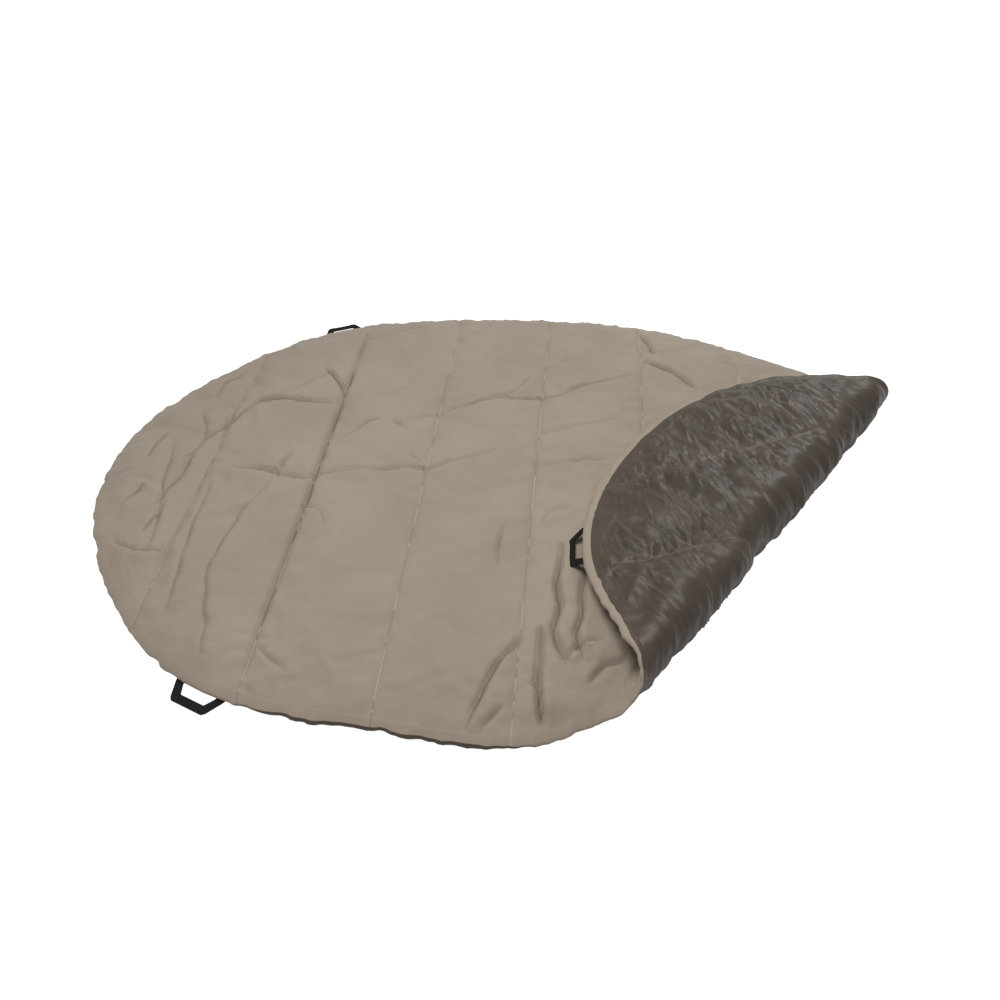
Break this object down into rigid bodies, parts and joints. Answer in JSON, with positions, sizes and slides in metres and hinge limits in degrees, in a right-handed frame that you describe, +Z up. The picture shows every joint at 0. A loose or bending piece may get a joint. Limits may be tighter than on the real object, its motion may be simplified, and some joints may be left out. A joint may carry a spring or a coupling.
{
  "type": "quilted bivy cover",
  "caption": "Oval two-sided quilted bivy cover, laid open with one corner folded back, with sewn channels, a gathered hem and webbing loops.",
  "frame": {"origin": "on the ground under the middle of the oval, where the middle channel seam crosses its long axis", "axes": "+X along the length of the cover, towards the end whose front corner is folded back; +Y across it, towards the rear; +Z up"},
  "size_m": [1.8365, 1.395, 0.1275],
  "materials": {
    "face": "matt brushed polyester, warm grey tan",
    "batting": "white polyester fibre batting",
    "lining": "smooth shiny nylon, dark taupe",
    "hem": "gathered band of the face fabric",
    "webbing": "black woven polyester webbing"
  },
  "bodies": {
    "quilt": {"face_main": "face", "batting_main": "batting", "lining_main": "lining", "hem_main": "hem", "loop_ends_rear_left": "webbing", "loop_ends_front_left": "webbing", "loop_ends_rear_right": "webbing"},
    "bend": {"face_bend": "face", "batting_bend": "batting", "lining_bend": "lining", "hem_bend_front": "hem", "hem_bend_rear": "hem"},
    "corner": {"face_corner": "face", "batting_corner": "batting", "lining_corner": "lining", "hem_corner": "hem", "loop_ends_corner": "webbing"},
    "rear_left_loop": {"loop_rear_left": "webbing"},
    "front_left_loop": {"loop_front_left": "webbing"},
    "corner_loop": {"loop_corner": "webbing"},
    "rear_right_loop": {"loop_rear_right": "webbing"}
  },
  "joints": [
    {"name": "fold_lower", "type": "hinge", "parent": "quilt", "child": "bend", "pos_m": [0.41011, -0.27662, 0.03138], "axis": [0.5592, 0.829, 0], "range_deg": [0, 93.5], "deforming": ["face_bend", "batting_bend", "lining_bend", "hem_bend_front", "hem_bend_rear"]},
    {"name": "fold_upper", "type": "hinge", "parent": "bend", "child": "corner", "pos_m": [0.4066, -0.27425, 0.1006], "axis": [0.5592, 0.829, 0], "range_deg": [0, 93.5]},
    {"name": "rear_left_loop_swing", "type": "hinge", "parent": "quilt", "child": "rear_left_loop", "pos_m": [-0.57761, 0.59813, 0.00305], "axis": [0.9002, 0.4355, 0], "range_deg": [-175, 63]},
    {"name": "front_left_loop_swing", "type": "hinge", "parent": "quilt", "child": "front_left_loop", "pos_m": [-0.57973, -0.62168, 0.00305], "axis": [-0.9295, 0.3688, 0], "range_deg": [-175, 63]},
    {"name": "corner_loop_swing", "type": "hinge", "parent": "corner", "child": "corner_loop", "pos_m": [0.10932, -0.24938, 0.073], "axis": [0.0339, -0.9968, 0.0719], "range_deg": [-200, 0]},
    {"name": "rear_right_loop_swing", "type": "hinge", "parent": "quilt", "child": "rear_right_loop", "pos_m": [0.57995, 0.56005, 0.00305], "axis": [0.8973, -0.4415, 0], "range_deg": [0, 238]}
  ],
  "couplings": [
    {"joint": "fold_upper", "follows": "fold_lower", "ratio": 1}
  ]
}
